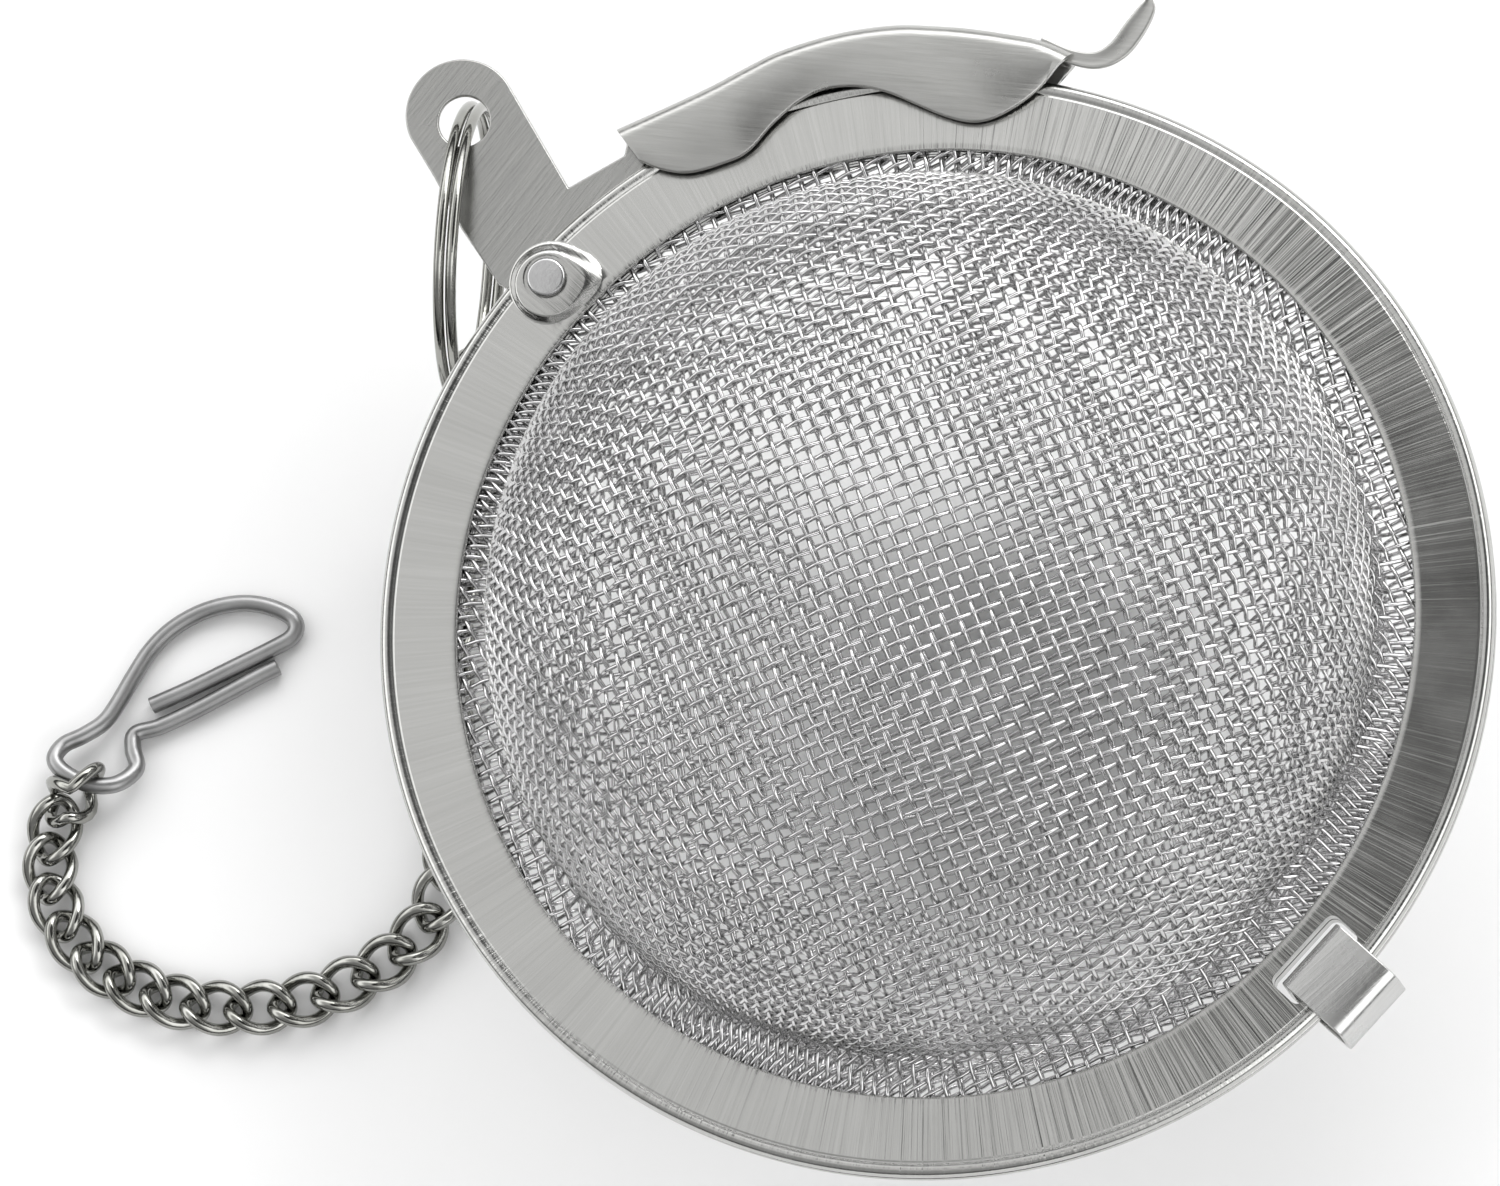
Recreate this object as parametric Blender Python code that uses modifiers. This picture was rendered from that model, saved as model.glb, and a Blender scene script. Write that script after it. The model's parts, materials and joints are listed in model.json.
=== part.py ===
"""Tea infuser: a stainless mesh tea ball with a latch, a split ring, a curb chain and an end hook.

The closed ball stands on the flat pole of its lower bowl. +Z is the ball's axis. The latch
lever, its rivet and the split ring are at the upper left (about 138 degrees), the hinge strap
is opposite (-42 degrees), and the chain lies on the table along the ball's left side.
Every length below is in millimetres, and MM turns it into metres.
"""

import math

import bmesh
import bpy
from mathutils import Matrix, Vector

MM = 0.001

# Bowls: a dome over a flared foot, with a flat pole to stand on.
BOWL_R = 26.2
BOWL_RISE = 23.6
FOOT_Z = 0.68
FOOT_FILLET = 1.1
FOOT_R = 28.7
POLE_FLAT_R = 7.0
MESH_T = 0.26
DOME_BASE_Z = FOOT_Z + FOOT_FILLET
POLE_Z = DOME_BASE_Z + BOWL_RISE * math.sqrt(1 - (POLE_FLAT_R / BOWL_R) ** 2)
# The plane between the two rims, with the lower pole on z = 0.
SEAM_Z = POLE_Z + MESH_T / 2

# Rims: hemmed rings that hold the edge of each bowl in a groove.
RIM_OUT_R = 32.5
RIM_IN_R = 27.9
RIM_LOW = 0.10
RIM_HIGH = 1.10
GROOVE_R = 28.85
GROOVE_LOW = 0.50
GROOVE_HIGH = 0.86
RIM_STEPS = 64

# Latch lever, riveted to the upper rim between the two rims.
RIVET_R = 30.9
RIVET_DEG = 138.0
LEVER_T = 0.45
POCKET = 0.30
EYE_R = 2.0
HEAD_R = 1.15
SHANK_R = 0.75
SHANK_GAP = 0.05
BOSS_R = 2.5
BOSS_HIGH = 0.35
TAIL_HOLE = (-28.15, 30.3)
TAIL_HOLE_R = 1.5
TAIL_END = (-28.35, 30.75)
TAIL_END_R = 3.25
CHANNEL_WALL_T = 0.45
CHANNEL_GAP = 0.12
LIP_T = 0.45

# Hinge strap: a flattened loop through a slot in each rim.
HINGE_DEG = -42.0
PIVOT_R = 32.6
SLOT_IN_R = 28.95
SLOT_OUT_R = 31.2
SLOT_W = 5.4
STRAP_IN_R = 29.8
STRAP_OUT_R = 34.7
STRAP_HALF_H = 2.35
STRAP_T = 0.45
STRAP_W = 4.7

# Split ring: two coils of wire through the lever's tail.
RING_R = 8.5
RING_WIRE_R = 0.325
RING_STEP = 0.72
RING_AT_HOLE_DEG = 45.0
RING_START_DEG = -105.0
RING_TURNED_DEG = 670.0
JOG_FROM_DEG = 312.0
JOG_TO_DEG = 356.0
RING_HEADING_DEG = -94.0
RING_CROSS = (-28.22, 29.85)

# Curb chain: each link is an oval whose two ends are twisted against each other.
LINK_A = 1.85
LINK_B = 1.30
LINK_TWIST_DEG = 45.0
LINK_WIRE_R = 0.37
LINK_PITCH = 2.65
BUNCHED_PITCH = 2.38
BUNCHED_LINKS = 7
CHAIN_Z = 0.93
HANG_DEG = -52.0

# End hook: one bent wire.
HOOK_WIRE_R = 0.5


def clear_scene():
    for obj in list(bpy.data.objects):
        bpy.data.objects.remove(obj, do_unlink=True)


def new_collection(name):
    made = bpy.data.collections.new(name)
    bpy.context.scene.collection.children.link(made)
    return made


clear_scene()
PARTS = new_collection("tea_infuser")
CUTTERS = new_collection("cutters")
CUTTERS.hide_render = True


def material(name, colour, rough):
    made = bpy.data.materials.new(name)
    made.use_nodes = True
    shader = made.node_tree.nodes["Principled BSDF"]
    shader.inputs["Base Color"].default_value = (*colour, 1.0)
    shader.inputs["Roughness"].default_value = rough
    shader.inputs["Metallic"].default_value = 1.0
    made.diffuse_color = (*colour, 1.0)
    return made


SATIN = material("satin_steel", (0.62, 0.62, 0.61), 0.34)
WEAVE = material("woven_steel", (0.70, 0.70, 0.70), 0.30)
BRIGHT = material("bright_steel", (0.72, 0.72, 0.71), 0.16)
STAMPED = material("stamped_steel", (0.55, 0.55, 0.54), 0.30)


def finish(obj, mat):
    obj.data.materials.clear()
    obj.data.materials.append(mat)
    PARTS.objects.link(obj)
    return obj


def as_cutter(obj):
    obj.hide_render = True
    obj.display_type = "WIRE"
    CUTTERS.objects.link(obj)
    return obj


def polar(r, deg):
    return (r * math.cos(math.radians(deg)), r * math.sin(math.radians(deg)))


def arc(cx, cy, r, start, end, n):
    """Points along an arc about (cx, cy), from one angle to another in degrees."""
    turns = [start + (end - start) * i / n for i in range(n + 1)]
    return [(cx + polar(r, t)[0], cy + polar(r, t)[1]) for t in turns]


def revolve(name, profile, steps=RIM_STEPS, closed=True):
    """A solid of revolution about Z from (radius, z) points that run down the outer side."""
    mesh = bpy.data.meshes.new(name)
    points = [(r * MM, 0.0, z * MM) for r, z in profile]
    count = len(points)
    last = count if closed else count - 1
    edges = [(i, (i + 1) % count) for i in range(last)]
    mesh.from_pydata(points, edges, [])
    obj = bpy.data.objects.new(name, mesh)
    turn = obj.modifiers.new("turn", "SCREW")
    turn.steps = steps
    turn.render_steps = steps
    turn.use_merge_vertices = True
    turn.merge_threshold = 1e-6
    turn.use_smooth_shade = False
    return obj


def slab(name, outline, low, high):
    """A flat plate of any outline, between two heights, as a closed mesh."""
    curve = bpy.data.curves.new(name + "_curve", "CURVE")
    curve.dimensions = "2D"
    curve.fill_mode = "BOTH"
    curve.extrude = (high - low) / 2 * MM
    spline = curve.splines.new("POLY")
    spline.points.add(len(outline) - 1)
    for point, (x, y) in zip(spline.points, outline):
        point.co = (x * MM, y * MM, 0.0, 1.0)
    spline.use_cyclic_u = True
    helper = bpy.data.objects.new(name + "_helper", curve)
    CUTTERS.objects.link(helper)
    helper.hide_render = True
    bpy.context.view_layer.update()
    graph = bpy.context.evaluated_depsgraph_get()
    mesh = bpy.data.meshes.new_from_object(helper.evaluated_get(graph))
    bpy.data.objects.remove(helper, do_unlink=True)
    mesh.transform(Matrix.Translation((0, 0, (low + high) / 2 * MM)))
    weld(mesh)
    return bpy.data.objects.new(name, mesh)


def weld(mesh):
    """Joins caps to sides, and turns every face outwards."""
    work = bmesh.new()
    work.from_mesh(mesh)
    bmesh.ops.remove_doubles(work, verts=work.verts, dist=1e-7)
    bmesh.ops.recalc_face_normals(work, faces=work.faces)
    if work.calc_volume(signed=True) < 0:
        bmesh.ops.reverse_faces(work, faces=work.faces)
    work.to_mesh(mesh)
    work.free()


def cylinder(name, at, r, low, high, sides=32, top_r=None):
    mesh = bpy.data.meshes.new(name)
    work = bmesh.new()
    bmesh.ops.create_cone(
        work,
        cap_ends=True,
        segments=sides,
        radius1=r * MM,
        radius2=(r if top_r is None else top_r) * MM,
        depth=(high - low) * MM,
    )
    work.to_mesh(mesh)
    work.free()
    mesh.transform(Matrix.Translation((at[0] * MM, at[1] * MM, (low + high) / 2 * MM)))
    return bpy.data.objects.new(name, mesh)


def boolean(obj, other, how):
    step = obj.modifiers.new(how.lower() + "_" + other.name, "BOOLEAN")
    step.operation = how
    step.solver = "EXACT"
    step.object = other


def tube(name, points, radius, cyclic=False, sides=2):
    """A round wire along a path of (x, y, z) points."""
    curve = bpy.data.curves.new(name, "CURVE")
    curve.dimensions = "3D"
    curve.bevel_depth = radius * MM
    curve.bevel_resolution = sides
    curve.use_fill_caps = not cyclic
    spline = curve.splines.new("POLY")
    spline.points.add(len(points) - 1)
    for point, (x, y, z) in zip(spline.points, points):
        point.co = (x * MM, y * MM, z * MM, 1.0)
    spline.use_cyclic_u = cyclic
    return bpy.data.objects.new(name, curve)


def smooth_path(knots, per_leg=6):
    """A Catmull-Rom path through the knots."""
    ends = [2 * knots[0] - knots[1]] + list(knots) + [2 * knots[-1] - knots[-2]]
    out = []
    for i in range(1, len(ends) - 2):
        a, b, c, d = ends[i - 1 : i + 3]
        for k in range(per_leg):
            t = k / per_leg
            out.append(
                0.5
                * (
                    2 * b
                    + (c - a) * t
                    + (2 * a - 5 * b + 4 * c - d) * t**2
                    + (3 * b - a - 3 * c + d) * t**3
                )
            )
    out.append(knots[-1].copy())
    return out


# ---------------------------------------------------------------- bowls and rims


def bowl_line(offset):
    """The bowl's wall from the pole out to its foot, as (radius, height over the seam)."""
    out = [(0.0, POLE_Z + offset)]
    start = math.asin(POLE_FLAT_R / BOWL_R)
    for i in range(8):
        turn = start + (math.pi / 2 - start) * i / 7
        slope = Vector((math.sin(turn) / BOWL_R, math.cos(turn) / BOWL_RISE)).normalized()
        r = BOWL_R * math.sin(turn) + offset * slope.x
        z = DOME_BASE_Z + BOWL_RISE * math.cos(turn) + offset * slope.y
        out.append((r, z))
    out[1] = (out[1][0], POLE_Z + offset)
    for i in range(1, 4):
        turn = math.radians(180 + 90 * i / 3)
        reach = FOOT_FILLET - offset
        centre = (BOWL_R + FOOT_FILLET, FOOT_Z + FOOT_FILLET)
        out.append((centre[0] + reach * math.cos(turn), centre[1] + reach * math.sin(turn)))
    out.append((FOOT_R, FOOT_Z + offset))
    return out


def half(side):
    """(+1 upper, -1 lower): its profiles' heights as world z."""
    outer = bowl_line(MESH_T / 2)
    inner = bowl_line(-MESH_T / 2)
    shell = outer + inner[::-1]
    rim = [
        (RIM_IN_R, RIM_HIGH),
        (RIM_OUT_R - 0.45, RIM_HIGH),
        (RIM_OUT_R - 0.13, RIM_HIGH - 0.13),
        (RIM_OUT_R, RIM_HIGH - 0.45),
        (RIM_OUT_R, RIM_LOW + 0.1),
        (RIM_OUT_R - 0.1, RIM_LOW),
        (RIM_IN_R, RIM_LOW),
        (RIM_IN_R, GROOVE_LOW),
        (GROOVE_R, GROOVE_LOW),
        (GROOVE_R, GROOVE_HIGH),
        (RIM_IN_R, GROOVE_HIGH),
    ]
    shell = [(r, SEAM_Z + side * z) for r, z in shell]
    rim = [(r, SEAM_Z + side * z) for r, z in rim]
    if side < 0:
        shell.reverse()
        rim.reverse()
    return shell, rim


upper_shell, upper_profile = half(1)
lower_shell, lower_profile = half(-1)
upper_bowl = revolve("upper_mesh_bowl", upper_shell, 40, closed=False)
lower_bowl = revolve("lower_mesh_bowl", lower_shell, 40, closed=False)
upper_rim = revolve("upper_rim", upper_profile)
lower_rim = revolve("lower_rim", lower_profile)

RIVET = polar(RIVET_R, RIVET_DEG)
HINGE_DIR = polar(1.0, HINGE_DEG)
HINGE_SIDE = (-HINGE_DIR[1], HINGE_DIR[0])


def at_hinge(out, side):
    """A point given by its distance from the axis along the hinge's direction, and across."""
    return (
        out * HINGE_DIR[0] + side * HINGE_SIDE[0],
        out * HINGE_DIR[1] + side * HINGE_SIDE[1],
    )


# The slot for the strap, cut through both rims.
slot_outline = [
    at_hinge(SLOT_IN_R, -SLOT_W / 2),
    at_hinge(SLOT_OUT_R, -SLOT_W / 2),
    at_hinge(SLOT_OUT_R, SLOT_W / 2),
    at_hinge(SLOT_IN_R, SLOT_W / 2),
]
slot_cutter = as_cutter(slab("slot_cutter", slot_outline, SEAM_Z - 3, SEAM_Z + 3))

# The pocket between the rims, in which the lever's eye turns.
pocket_outline = arc(RIVET[0], RIVET[1], EYE_R + 0.25, 232, 362, 12)
pocket_outline += arc(RIVET[0], RIVET[1], 3.0, 8, 8, 1)[:1]
pocket_outline += arc(RIVET[0], RIVET[1], 4.0, 30, 30, 1)[:1]
pocket_outline += arc(RIVET[0], RIVET[1], 13.0, 42, 228, 14)
pocket_low = SEAM_Z - POCKET
pocket_high = SEAM_Z + POCKET
pocket_cutter = as_cutter(slab("pocket_cutter", pocket_outline, pocket_low, pocket_high))
for rim in (upper_rim, lower_rim):
    boolean(rim, slot_cutter, "DIFFERENCE")
    boolean(rim, pocket_cutter, "DIFFERENCE")

# The raised boss over the lever's eye, and the rivet's hole.
boss = as_cutter(
    cylinder(
        "boss_form",
        polar(RIVET_R - 0.35, RIVET_DEG),
        BOSS_R,
        SEAM_Z + RIM_HIGH - 0.18,
        SEAM_Z + RIM_HIGH + BOSS_HIGH,
        28,
        BOSS_R - 0.45,
    )
)
rivet_hole = as_cutter(
    cylinder("rivet_hole", RIVET, SHANK_R + SHANK_GAP, SEAM_Z - 0.1, SEAM_Z + 3, 20)
)
boolean(upper_rim, boss, "UNION")
boolean(upper_rim, rivet_hole, "DIFFERENCE")
tail_relief = as_cutter(
    cylinder("rivet_tail_relief", RIVET, HEAD_R + 0.35, SEAM_Z - 0.8, SEAM_Z + 0.1, 24)
)
boolean(lower_rim, tail_relief, "DIFFERENCE")

finish(upper_rim, SATIN)
finish(lower_rim, SATIN)
finish(upper_bowl, WEAVE)
finish(lower_bowl, WEAVE)

# ---------------------------------------------------------------- rivet

head_low = SEAM_Z + RIM_HIGH + BOSS_HIGH + 0.03
rivet = cylinder("latch_rivet", RIVET, SHANK_R, SEAM_Z - 0.55, head_low + 0.1, 20)
rivet_head = as_cutter(cylinder("rivet_head", RIVET, HEAD_R, head_low, head_low + 0.4, 28, 0.9))
rivet_tail = as_cutter(cylinder("rivet_tail", RIVET, HEAD_R, SEAM_Z - 0.62, SEAM_Z - 0.32, 24))
boolean(rivet, rivet_head, "UNION")
boolean(rivet, rivet_tail, "UNION")
finish(rivet, BRIGHT)

# ---------------------------------------------------------------- latch lever

# Tail plate: a round end with the ring's hole, an eye round the rivet, and a strip to the channel.
tail_plate = []
tail_plate += arc(TAIL_END[0], TAIL_END[1], TAIL_END_R, 22, 205, 14)
tail_plate += [(-29.85, 27.0), (-28.2, 23.9), (-25.95, 20.6)]
tail_plate += arc(RIVET[0], RIVET[1], EYE_R, 200, 350, 10)
tail_plate += [(-18.9, 25.4), (-17.2, 27.9), (-15.4, 29.4), (-13.6, 31.1), (-14.0, 31.6)]
tail_plate += [(-18.4, 29.7), (-18.7, 28.1), (-21.95, 26.25)]
lever = slab("latch_lever", tail_plate, SEAM_Z - LEVER_T / 2, SEAM_Z + LEVER_T / 2)

# Outer fold of the channel, from its near end to the finger tab, as (radius, degrees).
FOLD = (
    (35.1, 122.9),
    (34.75, 118.0),
    (34.7, 113.2),
    (35.0, 109.0),
    (35.3, 105.5),
    (35.5, 100.0),
    (35.5, 94.8),
    (35.3, 91.0),
    (35.15, 87.8),
    (34.95, 84.0),
    (34.8, 80.6),
    (34.35, 77.2),
)
# Inner edge of the channel's upper lip.
LIP = (
    (33.4, 78.3),
    (31.9, 79.6),
    (30.6, 81.8),
    (29.7, 84.5),
    (29.5, 87.0),
    (29.9, 90.0),
    (30.6, 92.8),
    (31.5, 96.0),
    (32.1, 99.3),
    (32.25, 102.4),
    (31.9, 105.2),
    (31.1, 108.4),
    (30.1, 111.9),
    (30.05, 115.0),
    (30.5, 118.8),
    (31.5, 121.2),
    (32.6, 122.6),
)
# The lower lip is hidden in use, and is narrower.
LOWER_LIP = ((33.4, 79.0), (31.4, 82.0), (30.9, 88.0), (31.1, 98.0), (30.9, 110.0), (31.3, 118.0), (32.8, 122.0))

fold = [polar(r, a) for r, a in FOLD]
fold_inside = [polar(r - CHANNEL_WALL_T, a) for r, a in FOLD]
lip_low = SEAM_Z + RIM_HIGH + CHANNEL_GAP
lip_high = lip_low + LIP_T
floor_high = SEAM_Z - RIM_HIGH - CHANNEL_GAP
floor_low = floor_high - LIP_T
wall = as_cutter(slab("channel_wall", fold + fold_inside[::-1], floor_low + 0.05, lip_high - 0.05))
upper_lip = as_cutter(slab("upper_lip", fold + [polar(r, a) for r, a in LIP], lip_low, lip_high))
lower_lip = as_cutter(
    slab("lower_lip", fold + [polar(r, a) for r, a in LOWER_LIP], floor_low, floor_high)
)
# Finger tab: a short S that leaves the channel's far end and lifts outwards.
tab_line = [(5.6, 34.2), (7.5, 33.35), (9.0, 33.15), (10.2, 33.75), (11.1, 34.9), (11.85, 36.1)]
tab_half = [0.4, 0.42, 0.5, 0.62, 0.66, 0.5]
tab_left = []
tab_right = []
for i, (x, y) in enumerate(tab_line):
    before = Vector(tab_line[max(i - 1, 0)])
    after = Vector(tab_line[min(i + 1, len(tab_line) - 1)])
    along = (after - before).normalized()
    tab_left.append((x - along.y * tab_half[i], y + along.x * tab_half[i]))
    tab_right.append((x + along.y * tab_half[i], y - along.x * tab_half[i]))
tip = [(12.2, 36.75), (11.95, 36.95)]
tab = as_cutter(
    slab("finger_tab", tab_right + tip + tab_left[::-1], SEAM_Z + 0.25, SEAM_Z + 0.85)
)
for piece in (wall, upper_lip, lower_lip, tab):
    boolean(lever, piece, "UNION")
tail_hole = as_cutter(cylinder("tail_hole", TAIL_HOLE, TAIL_HOLE_R, SEAM_Z - 1, SEAM_Z + 1, 28))
eye_hole = as_cutter(cylinder("eye_hole", RIVET, SHANK_R + SHANK_GAP, SEAM_Z - 1, SEAM_Z + 1, 20))
boolean(lever, tail_hole, "DIFFERENCE")
boolean(lever, eye_hole, "DIFFERENCE")
finish(lever, STAMPED)

# ---------------------------------------------------------------- hinge strap


def strap_section(out_r, in_r, half_h, corner):
    """A rounded rectangle in the plane of the hinge's direction and z."""
    mid = (out_r + in_r) / 2
    half_l = (out_r - in_r) / 2
    points = []
    for cx, cz, start in ((1, 1, 0), (-1, 1, 90), (-1, -1, 180), (1, -1, 270)):
        centre = (mid + cx * (half_l - corner), cz * (half_h - corner))
        points += arc(centre[0], centre[1], corner, start, start + 90, 4)
    return points


def strap_solid(name, section, width):
    """The section carried across the hinge's direction, as a closed mesh."""
    obj = slab(name, section, -width / 2, width / 2)
    frame = Matrix(
        (
            (HINGE_DIR[0], 0, HINGE_SIDE[0], 0),
            (HINGE_DIR[1], 0, HINGE_SIDE[1], 0),
            (0, 1, 0, SEAM_Z * MM),
            (0, 0, 0, 1),
        )
    )
    obj.data.transform(frame)
    weld(obj.data)
    return obj


strap = strap_solid("hinge_strap", strap_section(STRAP_OUT_R, STRAP_IN_R, STRAP_HALF_H, 1.0), STRAP_W)
strap_void = as_cutter(
    strap_solid(
        "strap_inside",
        strap_section(STRAP_OUT_R - STRAP_T, STRAP_IN_R + STRAP_T, STRAP_HALF_H - STRAP_T, 0.6),
        STRAP_W + 2,
    )
)
boolean(strap, strap_void, "DIFFERENCE")
finish(strap, STAMPED)

# ---------------------------------------------------------------- split ring

ring_dir = polar(1.0, RING_HEADING_DEG)
ring_side = (-ring_dir[1], ring_dir[0])
drop = RING_R * math.sin(math.radians(RING_AT_HOLE_DEG))
away = RING_R * math.cos(math.radians(RING_AT_HOLE_DEG))
ring_centre = Vector((RING_CROSS[0] + away * ring_dir[0], RING_CROSS[1] + away * ring_dir[1], SEAM_Z - drop))


def on_ring(deg, across=0.0, r=RING_R):
    """A point of the ring's plane: 0 degrees is level and away from the hole, 90 is up."""
    flat = r * math.cos(math.radians(deg))
    return Vector(
        (
            ring_centre.x + flat * ring_dir[0] + across * ring_side[0],
            ring_centre.y + flat * ring_dir[1] + across * ring_side[1],
            ring_centre.z + r * math.sin(math.radians(deg)),
        )
    )


# The wire goes once round on one side, steps across, and goes once round on the other.
coil = []
coil_steps = 64
for i in range(coil_steps + 1):
    turned = RING_TURNED_DEG * i / coil_steps
    share = min(max((turned - JOG_FROM_DEG) / (JOG_TO_DEG - JOG_FROM_DEG), 0.0), 1.0)
    shift = RING_STEP * (share * share * (3 - 2 * share) - 0.5)
    coil.append(on_ring(RING_START_DEG + turned, shift))
finish(tube("split_ring", coil, RING_WIRE_R, sides=2), BRIGHT)

# ---------------------------------------------------------------- chain


def link_points(length, width, near_deg, far_deg, twist_from=0.0, twist_to=1.0, count=16):
    """An oval in x and y, twisted about x by one angle at its near end and another at its far."""
    out = []
    for i in range(count):
        turn = 2 * math.pi * i / count
        share = ((1 + math.cos(turn)) / 2 - twist_from) / (twist_to - twist_from)
        share = min(max(share, 0.0), 1.0)
        lean = math.radians(near_deg + (far_deg - near_deg) * share)
        side = width * math.sin(turn)
        out.append(Vector((length * math.cos(turn), side * math.cos(lean), side * math.sin(lean))))
    return out


def add_link(number, middle, along, length, width, near_deg, far_deg, twist=(0.0, 1.0)):
    across = Vector((0, 0, 1)).cross(along).normalized()
    top = along.cross(across)
    points = []
    for p in link_points(length, width, near_deg, far_deg, *twist):
        points.append(middle + p.x * along + p.y * across + p.z * top)
    name = f"chain_link_{number:02d}"
    finish(tube(name, points, LINK_WIRE_R, cyclic=True, sides=1), BRIGHT)


def pins_along(path, pitches):
    """Points spaced by each pitch in turn, measured straight from one to the next."""
    out = [path[0].copy()]
    i = 1
    for pitch in pitches:
        while i < len(path) and (path[i] - out[-1]).length < pitch:
            i += 1
        if i == len(path):
            break
        low, high = 0.0, 1.0
        for _ in range(30):
            mid = (low + high) / 2
            if (path[i - 1].lerp(path[i], mid) - out[-1]).length < pitch:
                low = mid
            else:
                high = mid
        out.append(path[i - 1].lerp(path[i], high))
    return out


# The first link is wider, and flat at its near end, to hold both coils of the split ring.
FIRST_A = 2.1
FIRST_B = 1.60
FIRST_SEAT = 1.12
hang = on_ring(HANG_DEG)
hang_dir = (hang - ring_centre).normalized()
first_middle = hang + FIRST_SEAT * hang_dir
first_pin = first_middle + (FIRST_A - (LINK_A - LINK_PITCH / 2)) * hang_dir
add_link(1, first_middle, hang_dir, FIRST_A, FIRST_B, 0.0, LINK_TWIST_DEG)

# The last link stands up at its far end, round the hook's eye.
LAST_A = 2.1
LAST_B = 1.45
LAST_LEAN_DEG = 90.0
last_middle = Vector((-54.3, -4.45, 1.64))
last_dir = Vector((0.72, 0.69, 0.3)).normalized()
last_pin = last_middle - (LAST_A - (LINK_A - BUNCHED_PITCH / 2)) * last_dir

# The chain's centre line: down from the ring, along below the rims, and round to the hook.
ROUTE = [
    first_pin,
    Vector((-30.0, 14.5, 5.6)),
    Vector((-30.9, 12.3, 2.9)),
    Vector((-32.0, 9.0, 1.25)),
    Vector((-32.5, 5.0, CHAIN_Z)),
    Vector((-32.3, -2.0, CHAIN_Z)),
    Vector((-31.95, -7.5, CHAIN_Z)),
    Vector((-32.9, -11.7, CHAIN_Z)),
    Vector((-35.3, -14.4, CHAIN_Z)),
    Vector((-40.5, -16.9, CHAIN_Z)),
    Vector((-46.5, -17.2, CHAIN_Z)),
    Vector((-51.0, -15.7, CHAIN_Z)),
    Vector((-54.1, -13.4, CHAIN_Z)),
    Vector((-55.7, -10.2, CHAIN_Z)),
    Vector((-55.8, -7.8, CHAIN_Z + 0.05)),
    last_pin,
]
fine = smooth_path(ROUTE, 24)
reach = sum((b - a).length for a, b in zip(fine, fine[1:]))
plain = round((reach - BUNCHED_LINKS * BUNCHED_PITCH) / LINK_PITCH)
# The plain pitch is eased a little so that a whole number of links fills the route.
eased = (reach - BUNCHED_LINKS * BUNCHED_PITCH) / plain
pins = pins_along(fine, [eased] * plain + [BUNCHED_PITCH] * BUNCHED_LINKS)
del pins[plain + BUNCHED_LINKS :]
pins.append(last_pin)
for number, (start, end) in enumerate(zip(pins, pins[1:]), 2):
    along = (end - start).normalized()
    middle = (start + end) / 2
    add_link(number, middle, along, LINK_A, LINK_B, -LINK_TWIST_DEG, LINK_TWIST_DEG)
last_number = len(pins) + 1
add_link(
    last_number,
    last_middle,
    last_dir,
    LAST_A,
    LAST_B,
    -LINK_TWIST_DEG,
    LAST_LEAN_DEG,
    (0.25, 0.6),
)

# ---------------------------------------------------------------- end hook

EYE_Z = 1.86
LOW = HOOK_WIRE_R + 0.03
HOOK_LINE = [
    Vector((-50.0, 0.95, LOW)),
    Vector((-47.6, 2.0, LOW)),
    Vector((-44.9, 3.3, LOW)),
    Vector((-42.6, 4.42, LOW)),
    Vector((-41.75, 4.95, LOW)),
    Vector((-41.5, 5.6, LOW)),
    Vector((-41.95, 6.25, LOW)),
    Vector((-43.4, 6.85, LOW)),
    Vector((-45.0, 7.0, LOW)),
    Vector((-46.9, 6.6, LOW)),
    Vector((-48.7, 5.65, LOW)),
    Vector((-50.1, 4.3, LOW)),
    Vector((-51.15, 2.6, LOW + 0.1)),
    Vector((-52.0, 1.0, LOW + 0.3)),
    Vector((-52.75, -0.1, LOW + 0.5)),
    Vector((-53.9, -0.9, LOW + 0.7)),
    Vector((-55.05, -1.5, LOW + 0.85)),
    Vector((-55.5, -2.4, EYE_Z - 0.15)),
    Vector((-54.85, -3.25, EYE_Z)),
    Vector((-53.35, -3.98, EYE_Z)),
    Vector((-51.8, -3.9, EYE_Z - 0.25)),
    Vector((-50.75, -2.9, LOW + 0.55)),
    Vector((-51.0, -1.7, LOW + 0.35)),
    Vector((-50.9, -0.75, LOW + 0.15)),
    Vector((-49.5, -0.3, LOW)),
    Vector((-47.4, 0.65, LOW)),
    Vector((-45.3, 1.75, LOW)),
    Vector((-43.7, 2.6, LOW)),
    Vector((-42.55, 3.15, LOW)),
]
finish(tube("end_hook", smooth_path(HOOK_LINE, 2), HOOK_WIRE_R, sides=2), STAMPED)
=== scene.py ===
"""Looks of the tea infuser: woven wire bowls, satin rims, latch lever, strap, ring, chain and hook.

Lengths are in millimetres in the shape code, and MM turns them into metres. The closed ball
stands on its lower pole, and +Z is its axis.
"""

import json
import math

import bmesh
import bpy
import numpy as np
from mathutils import Matrix, Vector


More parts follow.
